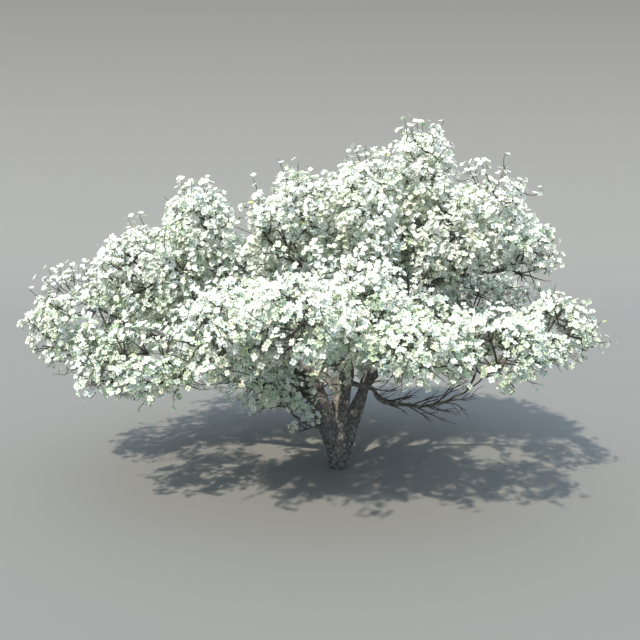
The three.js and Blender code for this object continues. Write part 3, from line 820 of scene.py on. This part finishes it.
def makeFlowers(index, twigs, templates, chance):
    places, facings, roots, tints, limits = placeFlowers(twigs, chance)
    kept = keptPlaces(places, limits, index, chance)
    facings, tints = facings[kept], tints[kept]
    places, roots = drifted(places[kept]), drifted(roots[kept])
    count = len(places)
    kind = chance.integers(0, len(templates), count)
    frames = framesFrom(facings, chance.random(count) * math.tau)
    sizes = blend(*spray["sizes"], chance.random(count))
    parts = [dealtCopies(template, places[kind == i], frames[kind == i], sizes[kind == i], tints[kind == i])
             for i, template in enumerate(templates)]
    return parts, makeStalks(roots, places), count


def makeLeaves(twigs, template, chance):
    places, facings, tints = [], [], []
    for twig in twigs:
        if chance.random() < spray["leaves"]:
            places.append(bezier(twig["path"], blend(spray["leavesFrom"], 1, chance.random())))
            facings.append(twig["normal"] + (chance.random(3) * 2 - 1) * spray["stray"])
            tints.append(chance.choice(len(leafFinishes), p=leafWeights))
    count = len(places)
    frames = framesFrom(normalized(facings), chance.random(count) * math.tau)
    sizes = blend(*spray["leafSizes"], chance.random(count))
    return [dealtCopies(template, drifted(places), frames, sizes, np.array(tints))]


def dressMass(index, twigs, templates):
    name = massNames[index]
    chance = np.random.default_rng(seeds["masses"] + index)
    nodes = ["blossom_" + name]
    twigParts = []
    for depth, level in enumerate(levels):
        paths = [twig["path"] for twig in twigs if twig["depth"] == depth]
        if paths:
            twigParts.append(twigTubes(paths, (level["start"], level["end"]), level["sides"], level["rings"]))
    flowerParts, stalks, count = makeFlowers(index, twigs, templates["flowers"], chance)
    leafParts = makeLeaves(twigs, templates["leaf"], chance)
    joinedPiece("twigs_" + name, [*twigParts, stalks], [twigFinish, stalkFinish], nodes)
    joinedPiece("flowers_" + name, flowerParts, [*bractFinishes, headFinish], nodes)
    joinedPiece("leaves_" + name, leafParts, leafFinishes, nodes)
    return count


# bare side twigs that cross each other under the blossom, along the boughs

sideTwig = {
    "spacing": 0.030,  # between two along a bough
    "from": 0.14,  # the share of a bough's length where they begin
    "lengths": (0.08, 0.20),
    "onward": 1.1,  # how much they lean the way the bough grows
    "lift": 0.35,
    "bend": 0.30,
    "radii": (0.0030, 0.0011),
    "forks": 3,
    "forkFrom": (0.3, 0.85),  # where forks leave it, as shares of its length
    "forkShare": (0.35, 0.55),  # the length of a fork, as a share of its twig's
    "forkRadii": (0.0016, 0.0008),
    "mesh": (5, 8),  # sides and rings
    "forkMesh": (3, 5),
    "sag": 0.02,  # how far an end may hang below its start
    "bare": 0.225,  # the height up to which they bear no flowers
    "depth": 3,  # higher up their forks bear as many as a sprig
}
# those of the bare bough under the right side, which run along with it
bareTwig = {**sideTwig, "bough": "bough_right_low", "spacing": 0.020, "lengths": (0.08, 0.17),
            "onward": 2.2, "bare": 9}


def growSideTwigs():
    chance = np.random.default_rng(seeds["sideTwigs"])
    twigs, forks, ends = [], [], []
    for name in boughNames:
        limb = limbs[name]
        settings = bareTwig if name == bareTwig["bough"] else sideTwig
        count = int(limb["run"][-1] * (1 - settings["from"]) / settings["spacing"])
        for i in range(count):
            share = blend(settings["from"], 1, (i + 0.5) / count)
            start, onward = placeOn(limb, share), directionOn(limb, share)
            twig = growAside(start, onward, blend(*settings["lengths"], chance.random()), chance, settings)
            grown = [twig]
            for _ in range(settings["forks"]):
                along = blend(*settings["forkFrom"], chance.random())
                length = np.linalg.norm(twig[2] - twig[0]) * blend(*settings["forkShare"], chance.random())
                grown.append(growAside(bezier(twig, along), normalized(twig[2] - twig[1]), length, chance,
                                       settings))
            twigs.append(twig)
            forks += grown[1:]
            ends += [{"path": path, "normal": normalized(path[2] - path[1]), "depth": settings["depth"]}
                     for path in grown[1:] if path[2][2] > settings["bare"]]
    return twigs, forks, ends


def growAside(start, onward, length, chance, settings):
    aside = normalized(np.cross(onward, chance.standard_normal(3)))
    first = normalized(aside + onward * settings["onward"] + (0, 0, settings["lift"]))
    bend = start + first * length / 2
    end = bend + normalized(first + chance.standard_normal(3) * settings["bend"]) * length / 2
    end[2] = max(end[2], start[2] - settings["sag"])
    return start, bend, end


def makeSideTwigs(templates):
    twigs, forks, ends = growSideTwigs()
    parts = [twigTubes(twigs, sideTwig["radii"], *sideTwig["mesh"]),
             twigTubes(forks, sideTwig["forkRadii"], *sideTwig["forkMesh"])]
    chance = np.random.default_rng(seeds["sideFlowers"])
    places, facings, roots, tints, _ = placeFlowers(ends, chance)
    kept = ~inClearing(places) & clearOfLimbs(places)
    places, roots = drifted(places[kept]), drifted(roots[kept])
    frames = framesFrom(facings[kept], chance.random(len(places)) * math.tau)
    sizes = blend(*spray["sizes"], chance.random(len(places)))
    joinedPiece("sideTwigs", [*parts, makeStalks(roots, places)], [twigFinish, stalkFinish],
                boughNames)
    flowers = dealtCopies(templates["flowers"][0], places, frames, sizes, tints[kept])
    joinedPiece("sideFlowers", [flowers], [*bractFinishes, headFinish],
                ["blossom_" + name for name in massNames])
    print("flowers inside", len(places))


# trunk and boughs: tapered curves, melted into one skin and given the bark's relief

bark = {
    "voxel": 0.003,
    "keptFaces": 0.58,
    "ringStep": 0.008,
    "collar": 0.35,  # how much a bough swells where it leaves another limb
    "collarReach": 2.5,  # and how far along, in its own radii
    "plateWidth": 0.011,
    "plateLength": 0.022,
    "plateDepth": 0.0030,
    "grooves": 0.32,  # how far a plate's edge slopes, as a share of its size
    "waver": (0.7, 0.45),  # how often plates are out of true, and how far, as shares of their size
    "fullRelief": 0.028,  # the radius from which the plates are full
    "leastRelief": 0.25,
    "midRelief": 0.6,  # the height in the relief that stays on the limb's own skin
    "lineStep": 0.004,
    "awry": (0.3, 0.9, 0.1),  # a way that no limb sets out in
    "easing": (0.5, 3),  # how much the melted skin is smoothed, and how many times
    "stemTip": 0.5,  # the share of its thickness that a mass's stem keeps at its end
    "stemSteps": 12,
}


def limbCurve(limb, swells):
    steps = max(4, math.ceil(limb["run"][-1] / bark["ringStep"]))
    shares = np.linspace(0, 1, steps + 1)
    places, radii = placeOn(limb, shares), radiusOn(limb, shares)
    run = shares * limb["run"][-1]
    if swells:
        radii = radii * (1 + bark["collar"] * np.exp(-run / (bark["collarReach"] * radii[0])))
    places = drifted(places)
    curve = bpy.data.curves.new(limb["name"], "CURVE")
    curve.dimensions = "3D"
    curve.bevel_depth = 1
    curve.bevel_resolution = 4
    curve.use_fill_caps = True
    spline = curve.splines.new("POLY")
    spline.points.add(steps)
    for point, place, radius in zip(spline.points, places, radii):
        point.co = (*place, 1)
        point.radius = radius
    thing = bpy.data.objects.new(limb["name"], curve)
    bpy.context.scene.collection.objects.link(thing)
    return thing


# where each place on the skin is, with its limb pulled straight: across, beside and along it
def placesAlongLimbs(places):
    samples = []
    for number, limb in enumerate(limbs.values()):
        shares = np.linspace(0, 1, math.ceil(limb["run"][-1] / bark["lineStep"]) + 1)
        line = drifted(placeOn(limb, shares))
        radii = radiusOn(limb, shares)
        onward = normalized(np.gradient(line, axis=0))
        across = np.cross(bark["awry"], onward[0])
        for i in range(len(line)):
            across = normalized(across - onward[i] * across.dot(onward[i]))
            along = shares[i] * limb["run"][-1] + number
            samples.append((line[i], across, np.cross(onward[i], across), onward[i], along, radii[i]))
    tree = kdtree.KDTree(len(samples))
    for number, sample in enumerate(samples):
        tree.insert(sample[0], number)
    tree.balance()
    nearest = [tree.find(place)[1] for place in places]
    middle, *axes, along, radius = [np.array(list(column))[nearest] for column in zip(*samples)]
    straight = np.stack([((places - middle) * axis).sum(axis=1) for axis in axes], axis=1)
    straight[:, 2] += along
    return straight, radius


def raisePlates(piece):
    mesh = piece.data
    count = len(mesh.vertices)
    places, normals = np.empty(count * 3, np.float32), np.empty(count * 3, np.float32)
    mesh.vertices.foreach_get("co", places)
    mesh.vertices.foreach_get("normal", normals)
    places, normals = places.reshape(-1, 3), normals.reshape(-1, 3)
    straight, radius = placesAlongLimbs(places)
    cells = straight / (bark["plateWidth"], bark["plateWidth"], bark["plateLength"])
    height = np.empty(count)
    often, far = bark["waver"]
    for i, cell in enumerate(cells):
        seat = Vector(cell) + noise.noise_vector(Vector(cell) * often) * far
        distances = noise.voronoi(seat)[0]
        height[i] = min(1, (distances[1] - distances[0]) / bark["grooves"])
    relief = bark["plateDepth"] * np.clip(radius / bark["fullRelief"], bark["leastRelief"], 1)
    places = places + normals * (relief * (height - bark["midRelief"]))[:, None]
    places[:, 2] = np.maximum(places[:, 2], 0)
    mesh.vertices.foreach_set("co", places.astype(np.float32).ravel())
    attribute = mesh.attributes.new("plateHeight", "FLOAT", "POINT")
    attribute.data.foreach_set("value", height.astype(np.float32))
    attribute = mesh.attributes.new("alongLimb", "FLOAT_VECTOR", "POINT")
    attribute.data.foreach_set("vector", straight.astype(np.float32).ravel())
    mesh.update()


# dogwood bark: dry, matt, small dark blocky plates with grey-brown backs
def makeBarkMaterial():
    material = newMaterial("dogwoodBark")
    tree = material.node_tree
    height = addNode(tree, "Attribute", {"attribute_name": "plateHeight"})
    along = addNode(tree, "Attribute", {"attribute_name": "alongLimb"})
    stretch = addNode(tree, "Mapping", inputs={"Scale": (1, 1, 0.4)},
                      links={"Vector": (along, "Vector")})
    # fine cracks 3 mm apart on the plates
    cracks = addNode(tree, "TexNoise", inputs={"Scale": 330, "Detail": 4, "Roughness": 0.6},
                     links={"Vector": (stretch, "Vector")})
    # patches of paler, weathered bark some 60 mm across
    patches = addNode(tree, "TexNoise", inputs={"Scale": 16, "Detail": 2},
                      links={"Vector": (stretch, "Vector")})
    plates = addNode(tree, "ValToRGB", links={"Fac": (height, "Fac")})
    ramp = plates.color_ramp
    ramp.elements[0].color = linearColour("#2f2b28")
    ramp.elements[0].position = 0.25
    ramp.elements[1].color = linearColour("#aba69d")
    ramp.elements[1].position = 0.95
    worn = addNode(tree, "Mix", {"data_type": "RGBA"},
                   {"B": linearColour("#8b8884")}, {"Factor": (patches, "Fac"), "A": (plates, "Color")})
    shade = addNode(tree, "MapRange", inputs={"From Min": 0.3, "From Max": 0.7,
                    "To Min": 0.6, "To Max": 1.1}, links={"Value": (cracks, "Fac")})
    speckled = addNode(tree, "Mix", {"data_type": "RGBA", "blend_type": "MULTIPLY"},
                       {"Factor": 1.0}, {"A": (worn, "Result"), "B": (shade, "Result")})
    bump = addNode(tree, "Bump", inputs={"Strength": 0.5, "Distance": 0.0012},
                   links={"Height": (cracks, "Fac")})
    surface = addNode(tree, "BsdfPrincipled", inputs={"Roughness": 0.88},
                      links={"Base Color": (speckled, "Result"), "Normal": (bump, "Normal")})
    addNode(tree, "OutputMaterial", links={"Surface": (surface, "BSDF")})
    return material


def applyModifier(piece, kind, **settings):
    modifier = piece.modifiers.new(kind, kind)
    for field, value in settings.items():
        setattr(modifier, field, value)
    bpy.ops.object.modifier_apply(modifier=kind)


def makeBark(stemPaths):
    deselectAll()
    tubes = [limbCurve(limb, limb["name"] not in stems) for limb in limbs.values()]
    for name, path in stemPaths.items():
        thick = limbs["bough_" + name]["radius"][-1]
        shares = np.linspace(0, 1, bark["stemSteps"])[:, None]
        line = np.array([bezier(path, share) for share in shares])
        run = runAlong(line)
        radius = blend(thick, thick * bark["stemTip"], run / run[-1])
        tubes.append(limbCurve({"name": name, "line": line, "run": run, "radius": radius}, False))
    for tube in tubes:
        tube.select_set(True)
    bpy.context.view_layer.objects.active = tubes[0]
    bpy.ops.object.convert(target="MESH")
    bpy.ops.object.join()
    piece = bpy.context.object
    piece.name = "trunkAndBoughs"
    applyModifier(piece, "REMESH", mode="VOXEL", voxel_size=bark["voxel"] * 1)
    applyModifier(piece, "SMOOTH", factor=bark["easing"][0], iterations=bark["easing"][1])
    # the foot is cut flat where the trunk meets the ground
    bpy.ops.object.mode_set(mode="EDIT")
    bpy.ops.mesh.select_all(action="SELECT")
    bpy.ops.mesh.bisect(plane_co=(0, 0, 0), plane_no=(0, 0, 1), clear_inner=True, use_fill=True)
    bpy.ops.object.mode_set(mode="OBJECT")
    raisePlates(piece)
    applyModifier(piece, "DECIMATE", ratio=bark["keptFaces"])  # smooth stretches take fewer faces
    piece.data.materials.clear()
    piece.data.materials.append(makeBarkMaterial())
    bpy.ops.object.shade_smooth()
    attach(piece, "root")
    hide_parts("trunk", *boughNames)


# floor, light and camera

studio = {
    "floorHalf": 30,
    "sweepFrom": 5,  # where the floor starts to curve up into the backdrop
    "sweepRadius": 6,
    "sweepSteps": 24,
    "backdropTop": 6.5,
    "fade": (1.5, 7.5),  # how far behind the tree the floor's colour turns into the backdrop's
    "floorColour": "#7c7b77",
    "backdropColour": "#81807d",
    "sunTowards": (0.507, 0.862),  # the way the shadows fall
    "sunHeight": 53.5,
    "sunStrength": 4.16,
    "sunAngle": 1.6,
    "sunColour": (1.0, 0.915, 0.79),
    # a dome that is bright overhead and dim near the ground
    "skyLow": (0.055, 0.095, 0.140),
    "skyHigh": (1.20, 1.50, 1.84),
    "bounces": 10,  # light passes many times between the pale flowers
}
view = {
    "place": (-0.0724, -2.6915, 0.9905),
    "pitch": 8.662,
    "lens": 40.306,
    "sensor": 36,
}


# a floor that curves up behind into a backdrop, as in a photographer's studio
def makeFloor():
    half, radius = studio["floorHalf"], studio["sweepRadius"]
    turns = np.linspace(0, math.pi / 2, studio["sweepSteps"])
    deep = [-half, *(studio["sweepFrom"] + radius * np.sin(turns)), studio["sweepFrom"] + radius]
    high = [0, *(radius - radius * np.cos(turns)), studio["backdropTop"]]
    deselectAll()
    bpy.ops.mesh.primitive_grid_add(x_subdivisions=1, y_subdivisions=studio["sweepSteps"] + 1, size=2 * half)
    floor = bpy.context.object
    floor.name = "floor"
    rows = sorted(floor.data.vertices, key=lambda vertex: vertex.co.y)
    for number, vertex in enumerate(rows):
        row = number // 2
        vertex.co.y, vertex.co.z = deep[row], high[row]
    bpy.ops.object.shade_smooth()
    floor.data.materials.append(makeFloorMaterial())


# matt grey paper, a shade darker where it curves up and catches more of the light
def makeFloorMaterial():
    material = newMaterial("floorPaleGrey")
    tree = material.node_tree
    place = addNode(tree, "TexCoord")
    split = addNode(tree, "SeparateXYZ", links={"Vector": (place, "Object")})
    share = addNode(tree, "MapRange", {"interpolation_type": "SMOOTHSTEP"},
                    {"From Min": studio["fade"][0], "From Max": studio["fade"][1]},
                    {"Value": (split, "Y")})
    colour = addNode(tree, "Mix", {"data_type": "RGBA"},
                     {"A": linearColour(studio["floorColour"]), "B": linearColour(studio["backdropColour"])},
                     {"Factor": (share, "Result")})
    surface = addNode(tree, "BsdfPrincipled", inputs={"Roughness": 0.9},
                      links={"Base Color": (colour, "Result")})
    addNode(tree, "OutputMaterial", links={"Surface": (surface, "BSDF")})
    return material


def makeStudio():
    makeFloor()
    height = math.radians(studio["sunHeight"])
    across = math.cos(height)
    travel = Vector((studio["sunTowards"][0] * across, studio["sunTowards"][1] * across, -math.sin(height)))
    bpy.ops.object.light_add(type="SUN", location=(0, 0, 4),
                             rotation=travel.to_track_quat("-Z", "Y").to_euler())
    sun = bpy.context.object.data
    sun.energy = studio["sunStrength"]
    sun.angle = math.radians(studio["sunAngle"])
    sun.color = studio["sunColour"]
    world = bpy.data.worlds.new("studio")
    bpy.context.scene.world = world
    world.use_nodes = True
    tree = world.node_tree
    tree.nodes.clear()
    place = addNode(tree, "TexCoord")
    split = addNode(tree, "SeparateXYZ", links={"Vector": (place, "Generated")})
    dome = addNode(tree, "Mix", {"data_type": "RGBA"},
                   {"A": (*studio["skyLow"], 1), "B": (*studio["skyHigh"], 1)}, {"Factor": (split, "Z")})
    sky = addNode(tree, "Background", links={"Color": (dome, "Result")})
    addNode(tree, "OutputWorld", links={"Surface": (sky, "Background")})
    bpy.context.scene.view_settings.view_transform = "Standard"
    bpy.context.scene.cycles.diffuse_bounces = studio["bounces"]


def makeCamera():
    bpy.ops.object.camera_add(location=view["place"], rotation=(math.radians(90 - view["pitch"]), 0, 0))
    camera = bpy.context.object
    camera.data.lens = view["lens"]
    camera.data.sensor_width = view["sensor"]
    bpy.context.scene.camera = camera


# the tree

makeCamera()
makeStudio()
buildLimbs()
limbPlaces, limbRadii = sampleLimbs(growth["limbStep"])
print("limbs laid out")
grown = [growMass(index) for index in range(len(massNames))]
print("twigs grown", sum(len(twigs) for stem, twigs in grown))
makeBark({name: stem for name, (stem, twigs) in zip(massNames, grown)})
print("bark raised")
templates = {
    "flowers": [makeFlower(flower, openness) for openness in spray["opennesses"]],
    "leaf": makeLeaf(leaf),
}
makeSideTwigs(templates)
flowerCount = sum(dressMass(index, twigs, templates) for index, (stem, twigs) in enumerate(grown))
print("flowers dealt out", flowerCount)
